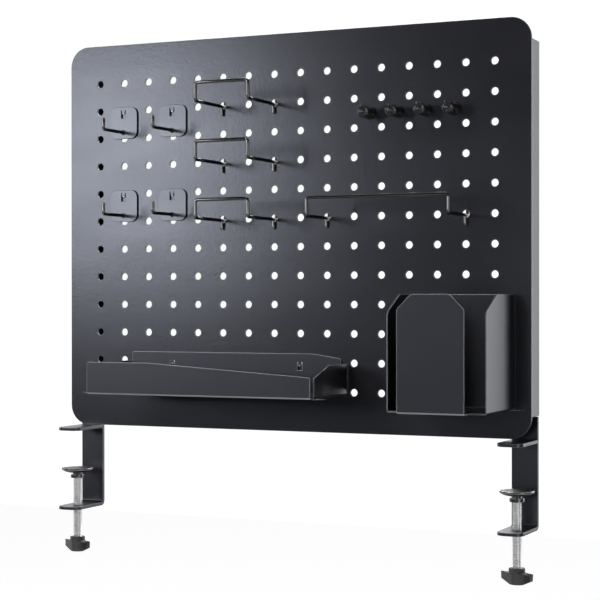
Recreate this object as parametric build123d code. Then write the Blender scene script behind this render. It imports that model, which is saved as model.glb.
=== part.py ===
from build123d import *
import math
import os

# A steel pegboard that stands at the back edge of a desk on two screw clamps, with
# its tray, cup holder, wire hooks and magnetic pins hung on it.
# Frame: +X to the viewer's right, +Y away from the viewer, +Z up. The origin lies
# midway between the clamps, where the desk's top meets its back edge.
# All sizes are in millimetres.

# Pegboard panel
panel_width = 444.5
panel_height = 350.0
panel_sheet = 2.0
panel_corner_radius = 18.0
panel_edge_round = 0.4
panel_lift = 4.5
hole_pitch = 25.4
hole_diameter = 6.4

# Side channels behind the panel
channel_sheet = 1.5
channel_web_width = 27.0
channel_lip_width = 28.0
channel_depth = 24.0
channel_end_inset = 18.4
channel_side_inset = 0.5
channel_bend_radius = 2.5
web_to_hole_gap = 0.8

# Clamp brackets: a flat strip, bent forward at its foot into the lower jaw
strip_width = 23.0
strip_thickness = 3.0
strip_bend_radius = 5.0
jaw_gap = 69.5
jaw_depth = 45.5
jaw_corner_radius = 8.0
upper_jaw_thickness = 3.0
tongue_height = 60.0
tongue_corner_radius = 3.0
tongue_set_back = 3.1
tongue_bend_rise = 2.5
tongue_edge_gap = 0.2
shoulder_gap = 0.5

# Screws that hold each bracket in its channel
bracket_screws_per_side = 2
bracket_screw_diameter = 5.0
bracket_screw_clearance = 0.1
bracket_screw_head_diameter = 9.2
bracket_screw_head_height = 2.8
bracket_screw_rim_height = 0.9
bracket_screw_face_diameter = 6.0
bracket_screw_socket_width = 3.0
bracket_screw_socket_depth = 1.4
bracket_screw_tip_stand = 2.0
bracket_screw_end_margin = 15.0

# Clamp screws, with the swivel pads and the knobs on their ends
screw_diameter = 8.0
screw_running_gap = 0.05
screw_from_desk_edge = 24.8
screw_outset = 1.0
screw_tip_chamfer = 0.8
pad_diameter = 29.0
pad_thickness = 4.2
pad_rim_height = 1.8
pad_foot_diameter = 17.0
liner_diameter = 25.0
liner_thickness = 1.2
liner_gap = 0.1
button_diameter = 9.0
button_thickness = 1.1
button_gap = 0.3
button_neck_diameter = 5.0
screw_seat_diameter = 6.8
collar_diameter = 12.4
collar_height = 3.2
collar_neck_diameter = 8.6
collar_neck_height = 1.7
collar_bore_gap = 0.05
pad_top_to_knob = 63.7
pad_drop = {"left": 35.4, "right": 37.1}

# Knobs: a hub with two wings that narrow towards their tips
knob_hub_diameter = 13.6
knob_height = 13.6
knob_wing_drop = 3.7
knob_wing_slope = 0.7
knob_wing_reach = 16.2
knob_tip_width = 3.8
knob_tip_height = 4.9
knob_foot_half_width = 6.0
knob_edge_round = 0.8
knob_bore_depth = 9.0
knob_rest_angle = {"left": -19.0, "right": -23.0}

# Lanced tabs that hang an accessory in a peg hole
tab_width = 3.4
tab_hole_gap = 0.3
tab_lip_drop = 2.0
tab_window_width = 4.6
tab_window_rise = 0.2
tab_window_height = 7.2
accessory_gap = 0.3

# Tray: its holes are counted from the left and from the bottom
tray_sheet = 1.2
tray_bend_radius = 2.0
tray_width = 217.5
tray_front_reach = 77.0
tray_side_reach = 72.0
tray_floor_drop = 27.7
tray_back_height = 35.5
tray_back_left_inset = 3.5
tray_back_right_inset = 6.0
tray_back_slope_run = 26.3
tray_back_slope_drop = 3.9
tray_side_height = 27.2
tray_side_front_height = 17.4
tray_side_slope_start = 41.0
tray_front_inset = 1.5
tray_front_high = 28.2
tray_front_low = 18.3
tray_front_flat = 61.0
tray_corner_round = 2.0
tray_holes = ((3, 1), (8, 1))

# Cup holder: its holes are counted from the right and from the bottom
cup_sheet = 1.2
cup_bend_radius = 2.0
cup_width = 85.0
cup_front_reach = 87.0
cup_side_reach = 73.0
cup_floor_drop = 87.2
cup_height = 95.8
cup_front_width = 57.0
cup_front_chamfer = 12.2
cup_side_chamfer_run = 28.0
cup_side_chamfer_drop = 14.5
cup_corner_round = 5.0
cup_back_inset = 1.5
cup_holes = ((2, 3), (0, 3))

# Single hooks: a rounded plate with one wire
plate_width = 28.6
plate_sheet = 1.5
plate_corner_radius = 6.5
plate_rise = 3.1
plate_tail = 0.5
plate_foot_tab_reach = 1.6
single_wire_drop = 20.2
single_wire_reach = 37.0
single_wire_tip = 10.0
single_hooks = ((1, 1), (3, 1), (1, 4), (3, 4))

# Wire hooks with two legs: the wide one fills the lowest double hook's row, but for the
# free columns on its left and right
wire_diameter = 3.0
wire_bend_radius = 2.6
wire_leg_drop = 1.16
prong_bend_radius = 2.8
prong_stand_off = 1.41
prong_height = 11.0
hook_rise = 15.7
double_hook_reach = 52.4
wide_hook_reach = 43.6
stop_diameter = 2.8
stop_length = 8.4
stop_gap = 0.3
double_hook_columns = (5, 7)
double_hook_rows = (1, 3, 5)
wide_hook_free_columns = (1, 1)

# Magnetic pins
pin_count = 4
pin_length = 18.0
pin_diameter = 10.8
pin_waist_diameter = 6.4
pin_flange_height = 3.4
pin_head_height = 4.6
pin_edge_chamfer = 0.9
pin_magnet_diameter = 8.0
pin_magnet_height = 2.5
pin_magnet_gap = 0.05
pin_row = 1.52
pin_first_from_right = 4.4

# Places that follow from the sizes
lip_front_y = strip_thickness + tongue_set_back
channel_rear_y = lip_front_y + channel_sheet
panel_rear_y = channel_rear_y - channel_depth
panel_front_y = panel_rear_y - panel_sheet
panel_middle_z = panel_lift + panel_height / 2
panel_edge_x = panel_width / 2
channel_edge_x = panel_edge_x - channel_side_inset
channel_bottom_z = panel_lift + channel_end_inset
channel_length = panel_height - 2 * channel_end_inset
hole_radius = hole_diameter / 2
wire_radius = wire_diameter / 2
least_margin = channel_side_inset + channel_web_width + web_to_hole_gap + hole_radius
hole_columns = math.floor((panel_width - 2 * least_margin) / hole_pitch) + 1
hole_rows = math.floor((panel_height - 2 * least_margin) / hole_pitch) + 1
last_column = hole_columns - 1
shoulder_z = channel_bottom_z - shoulder_gap
tongue_top_z = shoulder_z + tongue_height
channel_inner_bend = channel_bend_radius - channel_sheet
strip_x = panel_edge_x - strip_width / 2
clamp_x = strip_x + screw_outset
screw_radius = screw_diameter / 2
screw_y = -screw_from_desk_edge
SIDES = {"left": -1, "right": 1}


def column_x(column):
    """X of a column of peg holes, counted from 0 at the left."""
    return (column - last_column / 2) * hole_pitch


def row_z(row):
    """Z of a row of peg holes, counted from 0 at the top."""
    return panel_middle_z + ((hole_rows - 1) / 2 - row) * hole_pitch


def last_row():
    """The lowest row of peg holes."""
    return hole_rows - 1


def upright_plane(x, rear_y, z):
    """A plane that faces the viewer: local x is +X, local y is +Z, and it grows forward."""
    return Plane(origin=(x, rear_y, z), x_dir=(1, 0, 0), z_dir=(0, -1, 0))


def polygon(points):
    """A flat face through the points, in their order."""
    return make_face(Polyline(*points, close=True))


def rounded_at(sketch, corners, radius):
    """The sketch with the corners nearest the named points rounded."""
    chosen = [
        sorted(sketch.vertices(), key=lambda v: abs(v.X - x) + abs(v.Y - y))[0]
        for x, y in corners
    ]
    return fillet(chosen, radius)


def turned_profile(points):
    """A solid turned about the Z axis from a half profile of (radius, height) points."""
    half = make_face(Polyline(*[(radius, 0, height) for radius, height in points], close=True))
    return revolve(half, Axis.Z)


# Pegboard panel: one flat sheet with rounded corners and a full grid of holes
def make_panel():
    plane = upright_plane(0, panel_rear_y, panel_middle_z)
    outline = RectangleRounded(panel_width, panel_height, panel_corner_radius)
    sheet = extrude(plane * outline, amount=panel_sheet)
    sheet = fillet(sheet.faces().sort_by(Axis.Y)[0].edges(), panel_edge_round)
    holes = [
        place * Circle(hole_radius)
        for place in GridLocations(hole_pitch, hole_pitch, hole_columns, hole_rows)
    ]
    return sheet - extrude(plane * Sketch(children=holes), amount=panel_sheet)


# Side channels: web on the panel, outer wall, and a lip that the bracket screws to
def make_channel(sign):
    edge = channel_edge_x
    web_end = edge - channel_web_width
    lip_end = edge - channel_lip_width
    wall = edge - channel_sheet
    section = polygon(
        (
            (web_end, panel_rear_y),
            (edge, panel_rear_y),
            (edge, channel_rear_y),
            (lip_end, channel_rear_y),
            (lip_end, lip_front_y),
            (wall, lip_front_y),
            (wall, panel_rear_y + channel_sheet),
            (web_end, panel_rear_y + channel_sheet),
        )
    )
    outer_bends = ((edge, panel_rear_y), (edge, channel_rear_y))
    section = rounded_at(section, outer_bends, channel_bend_radius)
    inner_bends = ((wall, lip_front_y), (wall, panel_rear_y + channel_sheet))
    section = rounded_at(section, inner_bends, channel_inner_bend)
    channel = extrude(Pos(0, 0, channel_bottom_z) * section, amount=channel_length, dir=(0, 0, 1))
    for z in bracket_screw_heights():
        bore = Cylinder(bracket_screw_diameter / 2 + bracket_screw_clearance, 4 * channel_sheet)
        channel -= Pos(tongue_middle_x(), channel_rear_y, z) * Rot(90, 0, 0) * bore
    return channel if sign > 0 else mirror(channel, about=Plane.YZ)


def tongue_outer_x():
    """Outer edge of the bracket's tongue, just clear of the channel's inner bend."""
    return channel_edge_x - channel_sheet - channel_inner_bend - tongue_edge_gap


def tongue_middle_x():
    """Middle of the tongue, where its screws stand."""
    return (tongue_outer_x() + panel_edge_x - strip_width) / 2


def bracket_screw_heights():
    """Heights of the screws, spread evenly over the tongue inside the channel."""
    low = channel_bottom_z + bracket_screw_end_margin
    high = tongue_top_z - bracket_screw_end_margin
    step = (high - low) / (bracket_screws_per_side - 1)
    return [low + step * index for index in range(bracket_screws_per_side)]


# Clamp brackets: strip, tongue set back to the channel's lip, bend and lower jaw
def make_bracket(sign):
    jaw_bottom = -jaw_gap - strip_thickness
    set_back_start = shoulder_z
    set_back_end = set_back_start + tongue_set_back + tongue_bend_rise
    tongue_rear = strip_thickness + tongue_set_back
    side_view = polygon(
        (
            (tongue_set_back, tongue_top_z),
            (tongue_set_back, set_back_end),
            (0, set_back_start),
            (0, -jaw_gap),
            (-jaw_depth, -jaw_gap),
            (-jaw_depth, jaw_bottom),
            (strip_thickness, jaw_bottom),
            (strip_thickness, set_back_start),
            (tongue_rear, set_back_end),
            (tongue_rear, tongue_top_z),
        )
    )
    side_view = rounded_at(side_view, ((strip_thickness, jaw_bottom),), strip_bend_radius)
    side_view = rounded_at(side_view, ((0, -jaw_gap),), strip_bend_radius - strip_thickness)
    inner_x = panel_edge_x - strip_width
    side_plane = Plane(origin=(inner_x, 0, 0), x_dir=(0, 1, 0), z_dir=(1, 0, 0))
    bracket = extrude(side_plane * side_view, amount=strip_width)
    jaw_tips = bracket.edges().filter_by(Axis.Z).group_by(Axis.Y)[0]
    bracket = fillet(jaw_tips, jaw_corner_radius)

    notch_width = panel_edge_x - tongue_outer_x()
    notch = Box(notch_width, 2 * tongue_rear, tongue_height)
    notch_middle_z = shoulder_z + tongue_height / 2
    bracket -= Pos(panel_edge_x - notch_width / 2, tongue_rear / 2, notch_middle_z) * notch
    tongue_tips = bracket.edges().filter_by(Axis.Y).group_by(Axis.Z)[-1]
    bracket = fillet(tongue_tips, tongue_corner_radius)

    screw_hole = Cylinder(screw_radius + screw_running_gap, 3 * strip_thickness)
    bracket -= Pos(clamp_x, screw_y, -jaw_gap) * screw_hole
    for z in bracket_screw_heights():
        bore = Cylinder(bracket_screw_diameter / 2 + bracket_screw_clearance, 3 * strip_thickness)
        bracket -= Pos(tongue_middle_x(), tongue_rear, z) * Rot(90, 0, 0) * bore
    return bracket if sign > 0 else mirror(bracket, about=Plane.YZ)


# Upper jaws: flat plates on the strips' front faces, which rest on the desk
def make_upper_jaw(sign):
    jaw = extrude(
        Pos(strip_x, -jaw_depth / 2) * Rectangle(strip_width, jaw_depth),
        amount=upper_jaw_thickness,
    )
    jaw = fillet(jaw.edges().filter_by(Axis.Z).group_by(Axis.Y)[0], jaw_corner_radius)
    return jaw if sign > 0 else mirror(jaw, about=Plane.YZ)


# Bracket screws: button heads behind the lip, shanks through lip and tongue
def make_bracket_screw():
    head_radius = bracket_screw_head_diameter / 2
    shank_radius = bracket_screw_diameter / 2
    shank_length = channel_sheet + strip_thickness + bracket_screw_tip_stand
    face_radius = bracket_screw_face_diameter / 2
    screw = turned_profile(
        (
            (0, -shank_length),
            (shank_radius, -shank_length),
            (shank_radius, 0),
            (head_radius, 0),
            (head_radius, bracket_screw_rim_height),
            (face_radius, bracket_screw_head_height),
            (0, bracket_screw_head_height),
        )
    )
    socket_radius = bracket_screw_socket_width / math.sqrt(3)
    socket = extrude(RegularPolygon(socket_radius, 6), amount=bracket_screw_socket_depth)
    return screw - Pos(0, 0, bracket_screw_head_height - bracket_screw_socket_depth) * socket


def make_bracket_screws():
    screws = []
    for sign in SIDES.values():
        for z in bracket_screw_heights():
            place = Pos(sign * tongue_middle_x(), channel_rear_y, z) * Rot(-90, 0, 0)
            screws.append(place * make_bracket_screw())
    return Compound(children=screws)


def on_clamp_axis(side, solid):
    """Stand a solid, drawn from the pad's top downward, on a side's clamp axis."""
    return Pos(SIDES[side] * clamp_x, screw_y, -pad_drop[side]) * solid


# Swivel pads: a dished cup that turns freely on the screw's button end
def make_pad_cup(side):
    pad_radius = pad_diameter / 2
    liner_seat = liner_diameter / 2 + liner_gap
    cavity_radius = button_diameter / 2 + button_gap
    cavity_floor = liner_thickness + 2 * button_gap + button_thickness
    neck_bore = button_neck_diameter / 2 + screw_running_gap
    return on_clamp_axis(
        side,
        turned_profile(
            (
                (neck_bore, -pad_thickness),
                (pad_foot_diameter / 2, -pad_thickness),
                (pad_radius, -pad_rim_height),
                (pad_radius, 0),
                (liner_seat, 0),
                (liner_seat, -liner_thickness),
                (cavity_radius, -liner_thickness),
                (cavity_radius, -cavity_floor),
                (neck_bore, -cavity_floor),
            )
        ),
    )


def make_pad_liner(side):
    disc = Cylinder(liner_diameter / 2, liner_thickness, align=(Align.CENTER, Align.CENTER, Align.MAX))
    return on_clamp_axis(side, disc)


# Clamp screws: button, neck, collar seat and the long threaded shank
def make_clamp_screw(side):
    button_top = -liner_thickness - button_gap
    button_foot = button_top - button_thickness
    seat_radius = screw_seat_diameter / 2
    collar_foot = -pad_thickness - button_gap - collar_neck_height - collar_height
    tip = -pad_top_to_knob - knob_bore_depth + button_gap
    seat_top = -pad_thickness - button_gap
    return on_clamp_axis(
        side,
        turned_profile(
            (
                (0, tip),
                (screw_radius - screw_tip_chamfer, tip),
                (screw_radius, tip + screw_tip_chamfer),
                (screw_radius, collar_foot),
                (seat_radius, collar_foot),
                (seat_radius, seat_top),
                (button_neck_diameter / 2, seat_top),
                (button_neck_diameter / 2, button_foot),
                (button_diameter / 2, button_foot),
                (button_diameter / 2, button_top),
                (0, button_top),
            )
        ),
    )


def make_collar(side):
    bore_radius = screw_seat_diameter / 2 + collar_bore_gap
    top = -pad_thickness - button_gap
    ledge = top - collar_neck_height
    foot = ledge - collar_height
    return on_clamp_axis(
        side,
        turned_profile(
            (
                (bore_radius, foot),
                (collar_diameter / 2, foot),
                (collar_diameter / 2, ledge),
                (collar_neck_diameter / 2, ledge),
                (collar_neck_diameter / 2, top),
                (bore_radius, top),
            )
        ),
    )


# Knobs: hub and two tapered wings, moulded on the screw's foot
def make_knob(side):
    hub_radius = knob_hub_diameter / 2
    tip_top = -knob_wing_drop - knob_wing_slope
    tip_foot = tip_top - knob_tip_height
    tips = Rectangle(2 * knob_wing_reach, knob_tip_width)
    plan = make_hull(Circle(hub_radius).edges() + tips.edges())
    wings = extrude(Pos(0, 0, -knob_height) * plan, amount=knob_height)
    wings = fillet(wings.edges().filter_by(Axis.Z).filter_by(at_tip), knob_edge_round)
    side_view = polygon(
        (
            (-knob_wing_reach, tip_top),
            (-hub_radius, -knob_wing_drop),
            (hub_radius, -knob_wing_drop),
            (knob_wing_reach, tip_top),
            (knob_wing_reach, tip_foot),
            (knob_foot_half_width, -knob_height),
            (-knob_foot_half_width, -knob_height),
            (-knob_wing_reach, tip_foot),
        )
    )
    side_plane = Plane(origin=(0, knob_hub_diameter, 0), x_dir=(1, 0, 0), z_dir=(0, -1, 0))
    wings &= extrude(side_plane * side_view, amount=2 * knob_hub_diameter)
    hub = Cylinder(hub_radius, knob_height, align=(Align.CENTER, Align.CENTER, Align.MAX))
    foot_cone = turned_profile(
        (
            (0, 0),
            (hub_radius, 0),
            (hub_radius, tip_foot),
            (knob_foot_half_width, -knob_height),
            (0, -knob_height),
        )
    )
    bore = Cylinder(
        screw_radius + screw_running_gap, knob_bore_depth, align=(Align.CENTER, Align.CENTER, Align.MAX)
    )
    knob = wings + (hub & foot_cone) - bore
    return on_clamp_axis(side, Pos(0, 0, -pad_top_to_knob) * Rot(0, 0, knob_rest_angle[side]) * knob)


def at_tip(edge):
    """Whether an upright edge of the knob's plan lies at a wing's tip."""
    return abs(edge.center().X) > knob_wing_reach - knob_edge_round


# Folded sheet walls, shared by the tray and the cup holder
def folded_wall(outline, sheet, bend_radius, floor_run):
    """A wall with its bend and a strip of floor.

    The outline is a face in X and Z, its lower edge at Z 0. The wall's outer face is at
    Y 0 and the floor runs towards +Y.
    """
    box = outline.bounding_box()
    fold = polygon(
        ((0, 0), (floor_run, 0), (floor_run, sheet), (sheet, sheet), (sheet, box.max.Z), (0, box.max.Z))
    )
    fold = rounded_at(fold, ((0, 0),), bend_radius)
    fold = rounded_at(fold, ((sheet, sheet),), bend_radius - sheet)
    fold_plane = Plane(origin=(box.min.X, 0, 0), x_dir=(0, 1, 0), z_dir=(1, 0, 0))
    strip = extrude(fold_plane * fold, amount=box.size.X)
    return strip & extrude(outline, amount=floor_run, dir=(0, 1, 0))


def wall_outline(points, round_corners, radius):
    """A wall's outline, drawn as (along, height) points, stood up in X and Z."""
    sketch = rounded_at(polygon(points), round_corners, radius)
    return Plane(origin=(0, 0, 0), x_dir=(1, 0, 0), z_dir=(0, -1, 0)) * sketch


def tab_half_height():
    """Half the free height in a peg hole over a tab's width."""
    return math.sqrt(hole_radius**2 - (tab_width / 2) ** 2)


def hang_on(body, sheet, x, z):
    """Cut a tab's window in a wall that lies on the panel, and add the tab.

    The tab rests in the peg hole at x, z and drops behind the panel.
    """
    wall_rear = panel_front_y - accessory_gap
    wall_middle = wall_rear - sheet / 2
    window_top = z + tab_window_rise
    tab_foot = z - tab_half_height() + tab_hole_gap
    lip_front = panel_rear_y + accessory_gap
    lip_rear = lip_front + sheet
    window = Box(tab_window_width, 3 * sheet, tab_window_height)
    body -= Pos(x, wall_middle, window_top - tab_window_height / 2) * window
    root_height = window_top - tab_foot
    root = Box(tab_width, sheet, root_height)
    arm = Box(tab_width, lip_rear - wall_rear + sheet, sheet)
    lip = Box(tab_width, sheet, sheet + tab_lip_drop)
    body += Pos(x, wall_middle, tab_foot + root_height / 2) * root
    body += Pos(x, (lip_rear + wall_rear - sheet) / 2, tab_foot + sheet / 2) * arm
    return body + Pos(x, (lip_front + lip_rear) / 2, tab_foot + (sheet - tab_lip_drop) / 2) * lip


# Tray: floor, back, two sides and a front whose top slopes down to the right
def make_tray():
    columns = [column for column, _ in tray_holes]
    centre_x = (column_x(columns[0]) + column_x(columns[-1])) / 2
    hang_z = row_z(last_row() - tray_holes[0][1])
    half = tray_width / 2
    rear_y = panel_front_y - accessory_gap
    depth = tray_front_reach - accessory_gap
    side_depth = tray_side_reach - accessory_gap
    bend = tray_bend_radius
    run = 2 * bend
    front_half = half - tray_front_inset
    kink = -front_half + tray_front_flat

    front = wall_outline(
        (
            (-front_half, 0),
            (front_half, 0),
            (front_half, tray_front_low),
            (kink, tray_front_high),
            (-front_half, tray_front_high),
        ),
        ((front_half, tray_front_low), (-front_half, tray_front_high)),
        tray_corner_round,
    )
    back_left = half - tray_back_left_inset
    back_right = -half + tray_back_right_inset
    slope_start = back_right + tray_back_slope_run
    back = wall_outline(
        (
            (back_right, 0),
            (back_left, 0),
            (back_left, tray_back_height),
            (slope_start, tray_back_height),
            (back_right, tray_back_height - tray_back_slope_drop),
        ),
        ((back_left, tray_back_height), (back_right, tray_back_height - tray_back_slope_drop)),
        tray_corner_round,
    )
    slope_start_y = tray_side_slope_start - accessory_gap
    side_rear = bend
    side = [
        (side_rear, 0),
        (side_depth, 0),
        (side_depth, tray_side_front_height),
        (slope_start_y, tray_side_height),
        (side_rear, tray_side_height),
    ]
    side_round = [(side_depth, tray_side_front_height)]
    left = wall_outline(side, side_round, tray_corner_round)
    right = wall_outline(
        [(-along, height) for along, height in side],
        [(-along, height) for along, height in side_round],
        tray_corner_round,
    )
    walls = (
        Pos(0, -depth, 0) * folded_wall(front, tray_sheet, bend, run),
        Rot(0, 0, 180) * folded_wall(back, tray_sheet, bend, run),
        Pos(-half, 0, 0) * Rot(0, 0, -90) * folded_wall(left, tray_sheet, bend, run),
        Pos(half, 0, 0) * Rot(0, 0, 90) * folded_wall(right, tray_sheet, bend, run),
    )
    floor = floor_plate(front_half, half, back_right, back_left, depth, side_depth, bend, tray_sheet)
    tray = Pos(centre_x, rear_y, hang_z - tray_floor_drop) * (floor + list(walls))
    for column in columns:
        tray = hang_on(tray, tray_sheet, column_x(column), hang_z)
    return tray


def floor_plate(front_half, half, back_right, back_left, depth, side_depth, bend, sheet):
    """The floor between the bends: a wide part, and narrower strips out to the front and back bends."""
    wide = polygon(
        (
            (-half + bend, -side_depth),
            (-front_half, -side_depth),
            (-front_half, -depth + bend),
            (front_half, -depth + bend),
            (front_half, -side_depth),
            (half - bend, -side_depth),
            (half - bend, -bend),
            (-half + bend, -bend),
        )
    )
    back_strip = polygon(
        ((-back_left, -2 * bend), (-back_right, -2 * bend), (-back_right, -bend), (-back_left, -bend))
    )
    return extrude(wide + back_strip, amount=sheet)


# Cup holder: a tall open box, its front panel narrower than its floor
def make_cup_holder():
    columns = [last_column - offset for offset, _ in cup_holes]
    centre_x = (column_x(columns[0]) + column_x(columns[-1])) / 2
    hang_z = row_z(last_row() - cup_holes[0][1])
    half = cup_width / 2
    rear_y = panel_front_y - accessory_gap
    depth = cup_front_reach - accessory_gap
    side_depth = cup_side_reach - accessory_gap
    bend = cup_bend_radius
    run = 2 * bend
    front_half = cup_front_width / 2
    chamfer_foot = cup_height - cup_front_chamfer
    chamfer_top = front_half - cup_front_chamfer

    front_chamfers = [
        (front_half, chamfer_foot),
        (chamfer_top, cup_height),
        (-chamfer_top, cup_height),
        (-front_half, chamfer_foot),
    ]
    front = wall_outline(
        [(-front_half, 0), (front_half, 0)] + front_chamfers, front_chamfers, cup_corner_round
    )
    back_half = half - cup_back_inset
    back_tops = [(back_half, cup_height), (-back_half, cup_height)]
    back = wall_outline([(-back_half, 0), (back_half, 0)] + back_tops, back_tops, tray_corner_round)
    side_kinks = [
        (side_depth, cup_height - cup_side_chamfer_drop),
        (side_depth - cup_side_chamfer_run, cup_height),
    ]
    side = [(bend, 0), (side_depth, 0)] + side_kinks + [(bend, cup_height)]
    left = wall_outline(side, side_kinks, cup_corner_round)
    right = wall_outline(
        [(-along, height) for along, height in side],
        [(-along, height) for along, height in side_kinks],
        cup_corner_round,
    )
    walls = (
        Pos(0, -depth, 0) * folded_wall(front, cup_sheet, bend, run),
        Rot(0, 0, 180) * folded_wall(back, cup_sheet, bend, run),
        Pos(-half, 0, 0) * Rot(0, 0, -90) * folded_wall(left, cup_sheet, bend, run),
        Pos(half, 0, 0) * Rot(0, 0, 90) * folded_wall(right, cup_sheet, bend, run),
    )
    floor = floor_plate(front_half, half, -back_half, back_half, depth, side_depth, bend, cup_sheet)
    cup = Pos(centre_x, rear_y, hang_z - cup_floor_drop) * (floor + list(walls))
    for column in columns:
        cup = hang_on(cup, cup_sheet, column_x(column), hang_z)
    return cup


# Single hooks
def make_hook_plate(column, row):
    rear_y = panel_front_y - accessory_gap
    height = plate_rise + hole_pitch + plate_tail
    middle_z = row_z(row) + plate_rise - height / 2
    outline = RectangleRounded(plate_width, height, plate_corner_radius)
    plate = extrude(upright_plane(column_x(column), rear_y, middle_z) * outline, amount=plate_sheet)
    plate = hang_on(plate, plate_sheet, column_x(column), row_z(row))
    foot_reach = accessory_gap + plate_foot_tab_reach
    foot = Box(tab_width, foot_reach, plate_sheet)
    foot_middle_z = row_z(row + 1) - plate_tail + plate_sheet / 2
    return plate + Pos(column_x(column), rear_y + foot_reach / 2, foot_middle_z) * foot


def make_single_wire(column, row):
    plate_front = panel_front_y - accessory_gap - plate_sheet
    z = row_z(row) - single_wire_drop
    tip_y = panel_front_y - single_wire_reach
    x = column_x(column)
    path = FilletPolyline(
        (x, plate_front, z), (x, tip_y, z), (x, tip_y, z + single_wire_tip), radius=wire_bend_radius
    )
    start = Plane(origin=(x, plate_front, z), x_dir=(1, 0, 0), z_dir=(0, -1, 0))
    return sweep(start * Circle(wire_radius), path=path)


# Wire hooks with two legs: prong, leg, riser, bar, riser, leg, prong, in one wire
def make_two_leg_wire(columns, row, reach):
    left_x = column_x(columns[0])
    right_x = column_x(columns[1])
    leg_z = row_z(row) - wire_leg_drop
    bar_z = leg_z + hook_rise
    prong_y = panel_rear_y + wire_radius + prong_stand_off
    prong_top = row_z(row) + prong_height
    front_y = panel_front_y - reach
    path = FilletPolyline(
        (left_x, prong_y, prong_top),
        (left_x, prong_y, leg_z),
        (left_x, front_y, leg_z),
        (left_x, front_y, bar_z),
        (right_x, front_y, bar_z),
        (right_x, front_y, leg_z),
        (right_x, prong_y, leg_z),
        (right_x, prong_y, prong_top),
        radius=[
            prong_bend_radius,
            wire_bend_radius,
            wire_bend_radius,
            wire_bend_radius,
            wire_bend_radius,
            prong_bend_radius,
        ],
    )
    start = Plane(origin=(left_x, prong_y, prong_top), x_dir=(1, 0, 0), z_dir=(0, 0, -1))
    return sweep(start * Circle(wire_radius), path=path)


def make_stops(columns, row):
    """Short wires welded under the legs, which lean on the panel's front."""
    leg_z = row_z(row) - wire_leg_drop
    stop_radius = stop_diameter / 2
    stop_y = panel_front_y - stop_gap - stop_radius
    stops = []
    for column in columns:
        stop = Pos(column_x(column), stop_y, leg_z) * Cylinder(
            stop_radius, stop_length, align=(Align.CENTER, Align.CENTER, Align.MAX)
        )
        leg = Pos(column_x(column), stop_y, leg_z) * Rot(90, 0, 0) * Cylinder(wire_radius, 4 * wire_diameter)
        stops.append(stop - leg)
    return Compound(children=stops)


# Magnetic pins: a waisted handle with a magnet let into its foot
def pin_place(index):
    """Foot of a pin, on the panel's front between two rows of holes."""
    return Pos(
        column_x(last_column - pin_first_from_right + index), panel_front_y, row_z(pin_row)
    ) * Rot(90, 0, 0)


def make_pin_body(index):
    radius = pin_diameter / 2
    waist = pin_waist_diameter / 2
    seat = pin_magnet_diameter / 2 + pin_magnet_gap
    head_foot = pin_length - pin_head_height
    body = turned_profile(
        (
            (0, pin_magnet_height),
            (seat, pin_magnet_height),
            (seat, 0),
            (radius, 0),
            (radius, pin_flange_height - pin_edge_chamfer),
            (waist, pin_flange_height + waist),
            (waist, head_foot - waist),
            (radius, head_foot),
            (radius, pin_length - pin_edge_chamfer),
            (radius - pin_edge_chamfer, pin_length),
            (0, pin_length),
        )
    )
    return pin_place(index) * body


def make_pin_magnet(index):
    disc = Cylinder(
        pin_magnet_diameter / 2, pin_magnet_height, align=(Align.CENTER, Align.CENTER, Align.MIN)
    )
    return pin_place(index) * disc


def build():
    """Every node of the object, by name."""
    nodes = {"pegboard_panel": make_panel(), "bracket_screws": make_bracket_screws()}
    for side, sign in SIDES.items():
        nodes[f"{side}_side_channel"] = make_channel(sign)
        nodes[f"{side}_clamp_bracket"] = make_bracket(sign)
        nodes[f"{side}_upper_jaw"] = make_upper_jaw(sign)
        nodes[f"{side}_pad_cup"] = make_pad_cup(side)
        nodes[f"{side}_pad_liner"] = make_pad_liner(side)
        nodes[f"{side}_clamp_screw"] = make_clamp_screw(side)
        nodes[f"{side}_screw_collar"] = make_collar(side)
        nodes[f"{side}_clamp_knob"] = make_knob(side)
    nodes["tray"] = make_tray()
    nodes["cup_holder"] = make_cup_holder()
    for number, (column, row) in enumerate(single_hooks, start=1):
        nodes[f"single_hook_{number}_plate"] = make_hook_plate(column, row)
        nodes[f"single_hook_{number}_wire"] = make_single_wire(column, row)
    for number, row in enumerate(double_hook_rows, start=1):
        nodes[f"double_hook_{number}_wire"] = make_two_leg_wire(
            double_hook_columns, row, double_hook_reach
        )
        nodes[f"double_hook_{number}_stops"] = make_stops(double_hook_columns, row)
    wide_columns = (
        double_hook_columns[1] + wide_hook_free_columns[0] + 1,
        last_column - wide_hook_free_columns[1],
    )
    wide_row = double_hook_rows[-1]
    nodes["wide_hook_wire"] = make_two_leg_wire(wide_columns, wide_row, wide_hook_reach)
    nodes["wide_hook_stops"] = make_stops(wide_columns, wide_row)
    for index in range(pin_count):
        nodes[f"magnetic_pin_{index + 1}_body"] = make_pin_body(index)
        nodes[f"magnetic_pin_{index + 1}_magnet"] = make_pin_magnet(index)
    return nodes


os.makedirs("parts", exist_ok=True)
for name, solid in build().items():
    export_step(solid, f"parts/{name}.step")
    print(name, round(solid.volume, 1))
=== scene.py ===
"""Looks of a steel pegboard desk organizer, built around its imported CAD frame.

Every sub-assembly is a class that holds its own sizes, makes its meshes with bmesh
operators and dresses them. Sizes are in millimetres and become metres in the meshes.
The frame is the CAD part's own: +X to the viewer's right, +Y away, +Z up.
"""

import logging
import math
from collections.abc import Iterable, Sequence
from dataclasses import dataclass
from enum import Enum

import bmesh
import bpy
from mathutils import Matrix, Vector


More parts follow.
